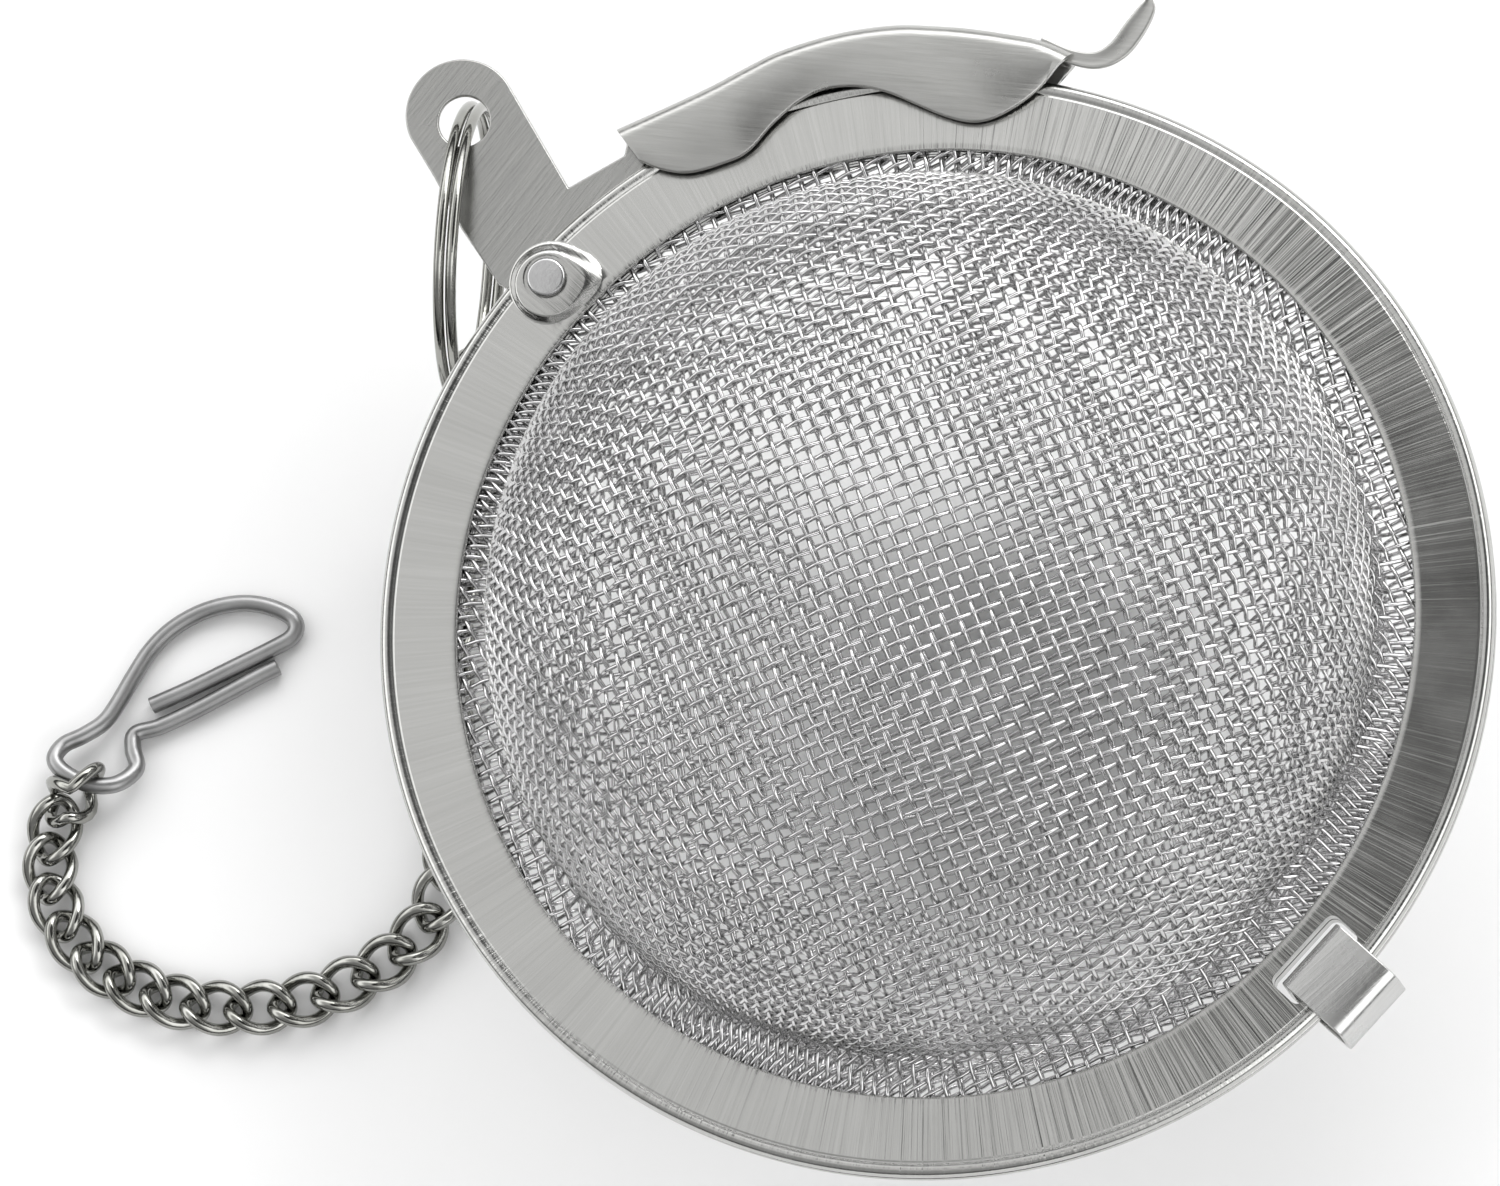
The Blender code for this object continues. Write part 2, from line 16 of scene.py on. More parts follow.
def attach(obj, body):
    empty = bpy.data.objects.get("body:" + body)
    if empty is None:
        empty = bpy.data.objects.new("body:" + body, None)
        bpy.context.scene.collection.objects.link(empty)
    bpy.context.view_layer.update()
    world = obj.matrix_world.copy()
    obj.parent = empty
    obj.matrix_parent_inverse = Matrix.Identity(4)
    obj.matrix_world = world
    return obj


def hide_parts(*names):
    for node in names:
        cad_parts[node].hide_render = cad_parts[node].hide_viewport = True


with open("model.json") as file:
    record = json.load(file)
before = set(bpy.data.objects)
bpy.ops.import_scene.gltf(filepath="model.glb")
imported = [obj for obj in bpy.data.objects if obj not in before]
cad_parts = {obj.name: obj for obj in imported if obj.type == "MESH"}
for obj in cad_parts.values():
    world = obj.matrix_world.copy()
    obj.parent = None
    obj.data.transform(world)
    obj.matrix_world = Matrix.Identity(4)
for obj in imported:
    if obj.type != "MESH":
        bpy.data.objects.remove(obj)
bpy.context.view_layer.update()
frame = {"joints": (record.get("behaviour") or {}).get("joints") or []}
JOINTS = {joint["name"]: joint for joint in frame["joints"]}

MM = 0.001
SEAM_Z = JOINTS["latch_turn"]["pos_m"][2] / MM

# Bowls: the middle of the woven sheet, as a flattened dome, a fillet and a flat foot.
DOME_R = 25.55
DOME_POWER = 2.15
FOOT_Z = 0.68
FOOT_FILLET = 1.75
FOOT_R = 28.55
POLE_Z = 24.39
WEAVE_DEG = 21.35
WARP_STEP = 0.92
WEFT_STEP = 0.85
WIRE_R = 0.13
WIRE_SIDES = 5
LEG_STEPS = 3

# Rims.
RIM_STEPS = 288
RIM_OUT_R = 32.5
RIM_IN_R = 27.9
RIM_LOW = 0.10
RIM_HIGH = 1.10
RIM_FALL = 0.30
FALL_FROM_R = 28.3
FALL_TO_R = 31.7
HEM_SEAM_R = 31.72
HEM_SEAM_DEEP = 0.03
HEM_R = 0.45
INNER_LIP_R = 0.12
LOWER_EDGE_R = 0.18
GROOVE_R = 28.85
GROOVE_LOW = 0.50
GROOVE_HIGH = 0.86

# Latch.
RIVET_R = 30.9
RIVET_DEG = 138.0
EYE_R = 2.0
POCKET = 0.30
BOSS_R = 2.5
BOSS_HIGH = 0.35
BOSS_TOP_R = 1.55
BOSS_TAIL = 1.0
BOSS_TAIL_DEG = 8.0
BOSS_SHIFT = 0.35
HEAD_R = 1.15
HEAD_HIGH = 0.42
SEAT_DEEP = 0.22
SEAT_GAP = 0.22
SHANK_R = 0.75
SHANK_GAP = 0.05
RIVET_TAIL_LOW = 0.62
RIVET_TAIL_HIGH = 0.32
LEVER_T = 0.45
TAIL_HOLE = (-28.15, 30.3)
TAIL_HOLE_R = 1.5
TAIL_END = (-28.35, 30.75)
TAIL_END_R = 3.25
WALL_T = 0.45
CHANNEL_GAP = 0.12
FOLD_R = 0.85

# Hinge.
HINGE_DEG = -42.0
SLOT_IN_R = 28.95
SLOT_OUT_R = 31.2
SLOT_W = 5.4
STRAP_IN_R = 29.8
STRAP_OUT_R = 34.7
STRAP_HALF_H = 2.35
STRAP_W = 4.7
STRAP_BEND_R = 0.35

# Ring, chain and hook.
RING_R = 8.5
RING_WIRE_R = 0.325
RING_STEP = 0.72
RING_STEPS = 360
RING_START_DEG = -105.0
RING_TURNED_DEG = 670.0
JOG_FROM_DEG = 312.0
JOG_TO_DEG = 356.0
RING_HEADING_DEG = -94.0
LINK_A = 1.85
LINK_B = 1.30
LINK_PITCH = 2.65
BUNCHED_PITCH = 2.38
LINK_TWIST_DEG = 45.0
LINK_WIRE_R = 0.37
LINKS = 28
# The first link is wider, to hold both turns of the split ring.
FIRST_A = 2.1
FIRST_B = 1.6
# The last link stands up at its far end, round the hook's eye.
LAST_A = 2.1
LAST_B = 1.45
LAST_LEAN_DEG = 90.0
LAST_TWIST = (0.25, 0.6)
HOOK_WIRE_R = 0.5

# ---------------------------------------------------------------- materials


class Nodes:
    """A short way to add nodes to one material."""

    def __init__(self, name):
        self.material = bpy.data.materials.new(name)
        self.material.use_nodes = True
        self.tree = self.material.node_tree
        self.shader = self.tree.nodes["Principled BSDF"]

    def add(self, kind, **values):
        node = self.tree.nodes.new(kind)
        for key, value in values.items():
            if hasattr(node, key):
                setattr(node, key, value)
            else:
                node.inputs[key.replace("_", " ")].default_value = value
        return node

    def join(self, source, target):
        self.tree.links.new(source, target)

    def math(self, operation, first, second=None):
        node = self.add("ShaderNodeMath", operation=operation)
        for socket, value in zip(node.inputs, (first, second)):
            if value is None:
                continue
            if isinstance(value, (int, float)):
                socket.default_value = value
            else:
                self.join(value, socket)
        return node.outputs[0]

    def noise(self, vector, scale, detail=3.0, rough=0.55):
        node = self.add("ShaderNodeTexNoise", Scale=scale, Detail=detail, Roughness=rough)
        self.join(vector, node.inputs["Vector"])
        return node.outputs["Fac"]

    def stretched(self, scale, turn=(0.0, 0.0, 0.0)):
        """Object coordinates, turned and then scaled along each axis."""
        place = self.add("ShaderNodeTexCoord").outputs["Object"]
        turned = self.add("ShaderNodeMapping")
        turned.inputs["Rotation"].default_value = turn
        self.join(place, turned.inputs["Vector"])
        scaled = self.add("ShaderNodeMapping")
        scaled.inputs["Scale"].default_value = scale
        self.join(turned.outputs["Vector"], scaled.inputs["Vector"])
        return scaled.outputs["Vector"]

    def around(self, turns, out, up):
        """Coordinates that follow the angle about Z, the radius and the height."""
        place = self.add("ShaderNodeTexCoord").outputs["Object"]
        split = self.add("ShaderNodeSeparateXYZ")
        self.join(place, split.inputs[0])
        x, y, z = split.outputs
        angle = self.math("ARCTAN2", y, x)
        squares = self.math("ADD", self.math("MULTIPLY", x, x), self.math("MULTIPLY", y, y))
        radius = self.math("SQRT", squares)
        joined = self.add("ShaderNodeCombineXYZ")
        self.join(self.math("MULTIPLY", angle, turns), joined.inputs[0])
        self.join(self.math("MULTIPLY", radius, out), joined.inputs[1])
        self.join(self.math("MULTIPLY", z, up), joined.inputs[2])
        return joined.outputs[0]

    def span(self, value, low, high, start=0.3, end=0.7):
        """The value, carried from start..end to low..high."""
        node = self.add("ShaderNodeMapRange")
        for key, number in (("From Min", start), ("From Max", end), ("To Min", low), ("To Max", high)):
            node.inputs[key].default_value = number
        self.join(value, node.inputs["Value"])
        return node.outputs["Result"]

    def tint(self, value, dark, light):
        ramp = self.add("ShaderNodeValToRGB")
        ramp.color_ramp.elements[0].position = 0.3
        ramp.color_ramp.elements[0].color = (*dark, 1.0)
        ramp.color_ramp.elements[1].position = 0.7
        ramp.color_ramp.elements[1].color = (*light, 1.0)
        self.join(value, ramp.inputs["Fac"])
        self.join(ramp.outputs["Color"], self.shader.inputs["Base Color"])

    def bump(self, height, strength, distance, under=None):
        node = self.add("ShaderNodeBump", Strength=strength, Distance=distance)
        self.join(height, node.inputs["Height"])
        if under is not None:
            self.join(under, node.inputs["Normal"])
        self.join(node.outputs["Normal"], self.shader.inputs["Normal"])
        return node.outputs["Normal"]


def satin_flange():
    """Rolled steel with fine radial grinding lines."""
    made = Nodes("satin_flange")
    made.shader.inputs["Metallic"].default_value = 1.0
    made.shader.inputs["Anisotropic"].default_value = 0.55
    made.shader.inputs["Anisotropic Rotation"].default_value = 0.25
    tangent = made.add("ShaderNodeTangent", direction_type="RADIAL", axis="Z")
    made.join(tangent.outputs[0], made.shader.inputs["Tangent"])
    lines = made.noise(made.around(170.0, 60.0, 300.0), 1.0, 4.0, 0.65)
    broad = made.noise(made.around(9.0, 60.0, 40.0), 1.0, 2.0)
    cloud = made.noise(made.stretched((1, 1, 1)), 260.0, 3.0)
    mixed = made.math("ADD", made.math("MULTIPLY", lines, 0.55), made.math("MULTIPLY", broad, 0.45))
    made.tint(mixed, (0.46, 0.46, 0.445), (0.54, 0.54, 0.525))
    made.join(made.span(cloud, 0.15, 0.22), made.shader.inputs["Roughness"])
    ripples = made.noise(made.around(75.0, 40.0, 100.0), 1.0, 3.0, 0.6)
    grain = made.bump(lines, 0.40, 0.00002)
    waves = made.bump(ripples, 0.5, 0.00005, grain)
    made.bump(cloud, 0.05, 0.0001, waves)
    return made.material


def drawn_wire(name, dark, light, rough_low, rough_high):
    """Drawn wire with small stains and drawing marks."""
    made = Nodes(name)
    made.shader.inputs["Metallic"].default_value = 1.0
    stains = made.noise(made.stretched((1, 1, 1)), 420.0, 4.0)
    marks = made.noise(made.stretched((1, 1, 1)), 4200.0, 2.0)
    made.tint(stains, dark, light)
    made.join(made.span(stains, rough_low, rough_high), made.shader.inputs["Roughness"])
    made.bump(marks, 0.25, 0.00003)
    return made.material


def stamped(name, turn_deg, dark, light, rough_low, rough_high):
    """Stamped strip: soft brushing in one direction, fine specks and rubbed patches."""
    made = Nodes(name)
    made.shader.inputs["Metallic"].default_value = 1.0
    turn = (0.0, 0.0, math.radians(turn_deg))
    brushing = made.noise(made.stretched((5200.0, 260.0, 2600.0), turn), 1.0, 3.0, 0.6)
    patches = made.noise(made.stretched((1, 1, 1)), 190.0, 3.0)
    specks = made.noise(made.stretched((1, 1, 1)), 3300.0, 2.0)
    mixed = made.math("ADD", made.math("MULTIPLY", brushing, 0.6), made.math("MULTIPLY", patches, 0.4))
    made.tint(mixed, dark, light)
    made.join(made.span(patches, rough_low, rough_high), made.shader.inputs["Roughness"])
    lines = made.bump(brushing, 0.30, 0.00004)
    made.bump(specks, 0.12, 0.00003, lines)
    return made.material


def pale_floor():
    made = Nodes("pale_floor")
    made.shader.inputs["Roughness"].default_value = 0.9
    made.shader.inputs["Base Color"].default_value = (0.92, 0.92, 0.92, 1.0)
    made.shader.inputs["Specular IOR Level"].default_value = 0.0
    return made.material


FLANGE = satin_flange()
WEAVE = drawn_wire("woven_wire", (0.48, 0.48, 0.48), (0.66, 0.655, 0.66), 0.12, 0.20)
BRIGHT = drawn_wire("bright_wire", (0.25, 0.25, 0.23), (0.38, 0.38, 0.36), 0.06, 0.12)
RIVETED = drawn_wire("rivet_steel", (0.48, 0.48, 0.48), (0.58, 0.58, 0.58), 0.20, 0.30)
TAIL = stamped("stamped_tail", 38.0, (0.37, 0.37, 0.36), (0.44, 0.44, 0.425), 0.22, 0.30)
CHANNEL = stamped("stamped_channel", 96.0, (0.41, 0.41, 0.395), (0.52, 0.52, 0.505), 0.26, 0.34)
STRAP = stamped("stamped_strap", 48.0, (0.51, 0.51, 0.50), (0.61, 0.61, 0.60), 0.20, 0.30)
HOOK = drawn_wire("hook_wire", (0.29, 0.29, 0.29), (0.37, 0.37, 0.37), 0.34, 0.42)

# ---------------------------------------------------------------- mesh helpers


def polar(r, deg):
    return (r * math.cos(math.radians(deg)), r * math.sin(math.radians(deg)))


def arc(cx, cy, r, start, end, n):
    """Points along an arc about (cx, cy), from one angle to another in degrees."""
    turns = [start + (end - start) * i / n for i in range(n + 1)]
    return [(cx + polar(r, t)[0], cy + polar(r, t)[1]) for t in turns]


def link_object(name, mesh):
    obj = bpy.data.objects.new(name, mesh)
    bpy.context.scene.collection.objects.link(obj)
    return obj


def mesh_object(name, points, faces):
    """An object from points in millimetres."""
    mesh = bpy.data.meshes.new(name)
    mesh.from_pydata((np.asarray(points, float) * MM).tolist(), [], faces)
    mesh.update()
    return link_object(name, mesh)


def tidy_mesh(mesh):
    work = bmesh.new()
    work.from_mesh(mesh)
    bmesh.ops.remove_doubles(work, verts=work.verts, dist=2e-7)
    bmesh.ops.recalc_face_normals(work, faces=work.faces)
    if work.calc_volume(signed=True) < 0:
        bmesh.ops.reverse_faces(work, faces=work.faces)
    work.to_mesh(mesh)
    work.free()


def shade(obj, sharp_deg=32.0):
    """Smooth shading with sharp edges above an angle."""
    work = bmesh.new()
    work.from_mesh(obj.data)
    for face in work.faces:
        face.smooth = True
    for edge in work.edges:
        edge.smooth = len(edge.link_faces) == 2 and edge.calc_face_angle(0.0) < math.radians(sharp_deg)
    work.to_mesh(obj.data)
    work.free()


def applied(obj):
    """Turns the modifiers' result into the object's own mesh."""
    bpy.context.view_layer.update()
    graph = bpy.context.evaluated_depsgraph_get()
    mesh = bpy.data.meshes.new_from_object(obj.evaluated_get(graph))
    obj.modifiers.clear()
    obj.data = mesh
    return obj


def boolean(obj, others, how):
    for other in others:
        step = obj.modifiers.new(how.lower(), "BOOLEAN")
        step.operation = how
        step.solver = "EXACT"
        step.object = other


def round_edges(obj, width, segments=3, angle_deg=40.0):
    """Rolled edges that leave the flat faces flat, as the object's own mesh."""
    applied(obj)
    obj.data.polygons.foreach_set("use_smooth", [True] * len(obj.data.polygons))
    step = obj.modifiers.new("round", "BEVEL")
    step.harden_normals = True
    step.width = width * MM
    step.segments = segments
    step.limit_method = "ANGLE"
    step.angle_limit = math.radians(angle_deg)
    step.use_clamp_overlap = True
    applied(obj)


def remove(*objs):
    for obj in objs:
        bpy.data.objects.remove(obj, do_unlink=True)


def slab(name, outline, low, high):
    """A flat plate of any outline, between two heights."""
    count = len(outline)
    points = [(x, y, low) for x, y in outline] + [(x, y, high) for x, y in outline]
    faces = [list(range(count))[::-1], list(range(count, 2 * count))]
    faces += [[i, (i + 1) % count, count + (i + 1) % count, count + i] for i in range(count)]
    obj = mesh_object(name, points, faces)
    tidy_mesh(obj.data)
    return obj


def lofted(name, points, count):
    """A closed body through sections of `count` points each, with a flat face at both ends."""
    faces = []
    for k in range(len(points) // count - 1):
        for j in range(count):
            a, b = k * count + j, k * count + (j + 1) % count
            faces.append((a, b, b + count, a + count))
    faces.append(tuple(range(count))[::-1])
    faces.append(tuple(range(len(points) - count, len(points))))
    obj = mesh_object(name, points, faces)
    tidy_mesh(obj.data)
    return obj


def revolve(name, profile, steps, centre=(0.0, 0.0)):
    """A closed ring of revolution, from (radius, z) points. Points on the axis are merged."""
    points = []
    for i in range(steps):
        turn = 2 * math.pi * i / steps
        for r, z in profile:
            points.append((centre[0] + r * math.cos(turn), centre[1] + r * math.sin(turn), z))
    count = len(profile)
    faces = []
    for i in range(steps):
        for j in range(count):
            a = i * count + j
            b = i * count + (j + 1) % count
            c = ((i + 1) % steps) * count + (j + 1) % count
            d = ((i + 1) % steps) * count + j
            faces.append((a, b, c, d))
    obj = mesh_object(name, points, faces)
    tidy_mesh(obj.data)
    return obj


def smooth_line(points, per_leg, closed=False):
    """A Catmull-Rom line through points of any dimension, as an array."""
    points = np.asarray(points, float)
    if closed:
        knots = np.vstack([points[-1:], points, points[:2]])
    else:
        knots = np.vstack([2 * points[:1] - points[1:2], points, 2 * points[-1:] - points[-2:-1]])
    t = (np.arange(per_leg) / per_leg)[None, :, None]
    a, b, c, d = (knots[i : len(knots) - 3 + i, None, :] for i in range(4))
    line = 2 * b + (c - a) * t + (2 * a - 5 * b + 4 * c - d) * t**2 + (3 * b - a - 3 * c + d) * t**3
    line = 0.5 * line.reshape(-1, points.shape[1])
    return line if closed else np.vstack([line, points[-1:]])


def unit(vectors):
    return vectors / np.maximum(np.linalg.norm(vectors, axis=-1, keepdims=True), 1e-12)


def carried_normals(line, closed):
    """A normal at each point of a line, carried along without twist."""
    if closed:
        along = unit(np.roll(line, -1, 0) - np.roll(line, 1, 0))
    else:
        along = unit(np.gradient(line, axis=0))
    normal = np.cross(along[0], (0.0, 0.0, 1.0))
    if np.linalg.norm(normal) < 0.1:
        normal = np.cross(along[0], (1.0, 0.0, 0.0))
    out = []
    for step in along:
        normal = unit(normal - step * np.dot(normal, step))
        out.append(normal)
    out = np.array(out)
    if closed:
        # What is left over after one turn is shared out along the line.
        last = unit(out[-1] - along[0] * np.dot(out[-1], along[0]))
        gap = math.atan2(np.dot(np.cross(last, out[0]), along[0]), np.dot(last, out[0]))
        turn = (np.arange(len(line)) / len(line) * gap)[:, None]
        out = out * np.cos(turn) + np.cross(along, out) * np.sin(turn)
    return along, out


def tube_parts(line, radius, sides, closed=False, normals=None, first=0, dome=0.0):
    """Points and faces of a round wire along a line. A dome rounds its two ends."""
    along, carried = carried_normals(line, closed)
    if normals is not None:
        carried = unit(normals - along * np.sum(normals * along, axis=1)[:, None])
    radii = np.full(len(line), radius)
    if dome and not closed:
        steps = np.array([1.0, 0.92, 0.7, 0.38])
        head = line[0] - along[0] * (dome * steps)[:, None]
        tail = line[-1] + along[-1] * (dome * steps[::-1])[:, None]
        shrink = radius * np.sqrt(1 - steps**2 * 0.98)
        line = np.vstack([head, line, tail])
        along = np.vstack([np.repeat(along[:1], 4, 0), along, np.repeat(along[-1:], 4, 0)])
        carried = np.vstack([np.repeat(carried[:1], 4, 0), carried, np.repeat(carried[-1:], 4, 0)])
        radii = np.concatenate([shrink, radii, shrink[::-1]])
    across = np.cross(along, carried)
    turn = 2 * np.pi * np.arange(sides) / sides
    ring = carried[:, None] * np.cos(turn)[None, :, None] + across[:, None] * np.sin(turn)[None, :, None]
    points = (line[:, None] + ring * radii[:, None, None]).reshape(-1, 3)
    count = len(line)
    legs = count if closed else count - 1
    i, j = np.meshgrid(np.arange(legs), np.arange(sides), indexing="ij")
    i, j = i.ravel(), j.ravel()
    after_i, after_j = (i + 1) % count, (j + 1) % sides
    quads = np.stack([i * sides + j, i * sides + after_j, after_i * sides + after_j, after_i * sides + j], 1)
    faces = (quads + first).tolist()
    if not closed:
        faces.append([first + k for k in range(sides)][::-1])
        faces.append([first + (count - 1) * sides + k for k in range(sides)])
    return points, faces


def tube(name, line, radius, sides, closed=False, dome=0.0):
    points, faces = tube_parts(np.asarray(line, float), radius, sides, closed, dome=dome)
    obj = mesh_object(name, points, faces)
    tidy_mesh(obj.data)
    shade(obj, 50.0)
    return obj


def dress(obj, material, body, slot, *nodes):
    """Material, body and the CAD nodes that the piece stands for, which are hidden. The slot is not used."""
    obj.data.materials.clear()
    obj.data.materials.append(material)
    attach(obj, body)
    if nodes:
        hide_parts(*nodes)
    return obj


# ---------------------------------------------------------------- woven bowls


def sheet_profile():
    """The middle of the woven sheet from its pole outwards: arc length, radius, height over the seam."""
    top = POLE_Z - FOOT_Z - FOOT_FILLET
    turn = np.linspace(0, np.pi / 2, 1500)
    r = DOME_R * np.sin(turn) ** (2 / DOME_POWER)
    z = FOOT_Z + FOOT_FILLET + top * np.cos(turn) ** (2 / DOME_POWER)
    bend = np.linspace(np.pi, 1.5 * np.pi, 160)[1:]
    r = np.concatenate([r, DOME_R + FOOT_FILLET + FOOT_FILLET * np.cos(bend), [FOOT_R + 4.0]])
    z = np.concatenate([z, FOOT_Z + FOOT_FILLET + FOOT_FILLET * np.sin(bend), [FOOT_Z]])
    s = np.concatenate([[0.0], np.cumsum(np.hypot(np.diff(r), np.diff(z)))])
    return s, r, z


PROFILE_STEP = 0.01
profile_s, profile_r, profile_z = sheet_profile()
even_s = np.arange(0.0, profile_s[-1], PROFILE_STEP)
even_r = np.interp(even_s, profile_s, profile_r)
even_z = np.interp(even_s, profile_s, profile_z)
slope_r = np.gradient(even_r, PROFILE_STEP).tolist()
slope_z = np.gradient(even_z, PROFILE_STEP).tolist()
list_r = even_r.tolist()
list_z = even_z.tolist()


def on_sheet(s, turn):
    """The point, and its derivatives by arc length and by angle."""
    i = int(s / PROFILE_STEP)
    r = list_r[i] + slope_r[i] * (s - i * PROFILE_STEP)
    z = list_z[i] + slope_z[i] * (s - i * PROFILE_STEP)
    c, n = math.cos(turn), math.sin(turn)
    return (r * c, r * n, z), (slope_r[i] * c, slope_r[i] * n, slope_z[i]), (-r * n, r * c, 0.0)


def crossing(beside, below, behind):
    """The net's next crossing: one warp step from one neighbour and one weft step from the other."""
    guess = [beside[k] + below[k] - behind[k] for k in range(3)]
    turn = math.atan2(guess[1], guess[0])
    s = float(np.interp(math.hypot(guess[0], guess[1]) - guess[2], even_r - even_z, even_s))
    limit = even_s[-1] - 2 * PROFILE_STEP
    for _ in range(12):
        s = min(max(s, 0.0), limit)
        point, by_s, by_turn = on_sheet(s, turn)
        u = [point[k] - beside[k] for k in range(3)]
        v = [point[k] - below[k] for k in range(3)]
        f = sum(k * k for k in u) - WARP_STEP**2
        g = sum(k * k for k in v) - WEFT_STEP**2
        fs = 2 * sum(u[k] * by_s[k] for k in range(3))
        ft = 2 * sum(u[k] * by_turn[k] for k in range(3))
        gs = 2 * sum(v[k] * by_s[k] for k in range(3))
        gt = 2 * sum(v[k] * by_turn[k] for k in range(3))
        det = fs * gt - ft * gs
        if abs(det) < 1e-9:
            return None
        ds = (f * gt - g * ft) / det
        dt = (g * fs - f * gs) / det
        s -= max(-0.4, min(0.4, ds))
        turn -= max(-0.2, min(0.2, dt))
        if abs(f) + abs(g) < 1e-9:
            break
    if s >= limit or s <= 0 or abs(f) + abs(g) > 1e-3:
        return None
    return on_sheet(s, turn)[0]


def net_quadrant():
    """Crossings with whole-number places (i, j) from 0. Every cell keeps its side lengths."""
    net = {}
    i = 0
    while i * WARP_STEP < even_s[-1] - 0.1:
        net[i, 0] = on_sheet(i * WARP_STEP, 0.0)[0]
        i += 1
    j = 0
    while j * WEFT_STEP < even_s[-1] - 0.1:
        net[0, j] = on_sheet(j * WEFT_STEP, math.pi / 2)[0]
        j += 1
    for a in range(1, i):
        for b in range(1, j):
            beside, below, behind = net.get((a - 1, b)), net.get((a, b - 1)), net.get((a - 1, b - 1))
            if not (beside and below and behind):
                break
            made = crossing(beside, below, behind)
            if made is None:
                break
            net[a, b] = made
    return net, i, j


def sheet_normals(points):
    """Outward unit normals of the sheet at points close to it."""
    key = np.hypot(points[:, 0], points[:, 1]) - points[:, 2]
    s = np.interp(key, even_r - even_z, even_s)
    dr = np.interp(s, even_s, slope_r)
    dz = np.interp(s, even_s, slope_z)
    turn = np.arctan2(points[:, 1], points[:, 0])
    return unit(np.stack([-dz * np.cos(turn), -dz * np.sin(turn), dr], axis=1))


def woven(name, family, quadrant, reach_i, reach_j, side):
    """Every wire of one family, in one mesh. Side is +1 for the upper bowl."""
    points, faces, first = [], [], 0
    rows, cells = (reach_i, reach_j) if family == "warp" else (reach_j, reach_i)
    for row in range(-rows, rows + 1):
        nodes, signs = [], []
        for cell in range(-cells, cells + 1):
            i, j = (row, cell) if family == "warp" else (cell, row)
            found = quadrant.get((abs(i), abs(j)))
            if found:
                x = math.copysign(found[0], i) if i else 0.0
                y = math.copysign(found[1], j) if j else 0.0
                nodes.append((x, y, found[2]))
                signs.append(1 if (i + j) % 2 else -1)
        if len(nodes) < 3:
            continue
        line = smooth_line(nodes, LEG_STEPS)
        normals = sheet_normals(line)
        wave = np.interp(np.arange(len(line)) / LEG_STEPS, np.arange(len(signs)), signs)
        wave = np.sin(wave * np.pi / 2) * (WIRE_R if family == "warp" else -WIRE_R)
        line = line + normals * wave[:, None]
        inside = np.hypot(line[:, 0], line[:, 1]) < FOOT_R
        if inside.sum() < 4:
            continue
        kept = slice(np.argmax(inside), len(inside) - np.argmax(inside[::-1]))
        made, made_faces = tube_parts(line[kept], WIRE_R, WIRE_SIDES, normals=normals[kept], first=first)
        points.append(made)
        faces += made_faces
        first += len(made)
    points = np.vstack(points)
    turn = math.radians(WEAVE_DEG)
    x = points[:, 0] * math.cos(turn) - points[:, 1] * math.sin(turn)
    y = points[:, 0] * math.sin(turn) + points[:, 1] * math.cos(turn)
    z = SEAM_Z + side * points[:, 2]
    if side < 0:
        faces = [face[::-1] for face in faces]
    obj = mesh_object(name, np.stack([x, y, z], axis=1), faces)
    obj.data.polygons.foreach_set("use_smooth", [True] * len(obj.data.polygons))
    return obj


quadrant, count_i, count_j = net_quadrant()
for half, side in (("upper", 1), ("lower", -1)):
    for family in ("warp", "weft"):
        wires = woven(f"{half}_{family}_wires", family, quadrant, count_i, count_j, side)
        dress(wires, WEAVE, f"{half}_half", "woven_steel", f"{half}_mesh_bowl")

# ---------------------------------------------------------------- rims


def rim_profile(side):
    """The hemmed section, as (radius, z). It falls a little outwards and has rolled edges."""
    fall = RIM_HIGH - RIM_FALL
    slope = RIM_FALL / (FALL_TO_R - FALL_FROM_R)
    section = [(RIM_IN_R, GROOVE_HIGH)]
    section += arc(RIM_IN_R + INNER_LIP_R, RIM_HIGH - INNER_LIP_R, INNER_LIP_R, 180, 90, 5)
    # Close pairs of points at both ends of the slope keep its shading flat.
    section += [(FALL_FROM_R, RIM_HIGH - 0.005), (FALL_FROM_R + 0.06, RIM_HIGH - 0.005 - 0.06 * slope)]
    section += [(FALL_FROM_R + 1.7, RIM_HIGH - 1.7 * slope)]
    section += [(FALL_TO_R - 0.13, fall + 0.13 * slope), (FALL_TO_R - 0.08, fall + 0.08 * slope)]
    section += [(HEM_SEAM_R - 0.04, fall - HEM_SEAM_DEEP), (HEM_SEAM_R + 0.04, fall - HEM_SEAM_DEEP)]
    section += [(HEM_SEAM_R + 0.10, fall + 0.015)]
    section += arc(RIM_OUT_R - HEM_R, fall - 0.40, HEM_R, 85, 0, 8)
    section += arc(RIM_OUT_R - LOWER_EDGE_R, RIM_LOW + LOWER_EDGE_R, LOWER_EDGE_R, 0, -90, 4)
    section += [(RIM_IN_R, RIM_LOW), (RIM_IN_R, GROOVE_LOW)]
    section += [(GROOVE_R, GROOVE_LOW), (GROOVE_R, GROOVE_HIGH)]
    section = [(r, SEAM_Z + side * z) for r, z in section]
    return section[::-1] if side > 0 else section


RIVET = polar(RIVET_R, RIVET_DEG)
HINGE_OUT = polar(1.0, HINGE_DEG)
HINGE_SIDE = (-HINGE_OUT[1], HINGE_OUT[0])


def at_hinge(out, side):
    return (
        out * HINGE_OUT[0] + side * HINGE_SIDE[0],
        out * HINGE_OUT[1] + side * HINGE_SIDE[1],
    )


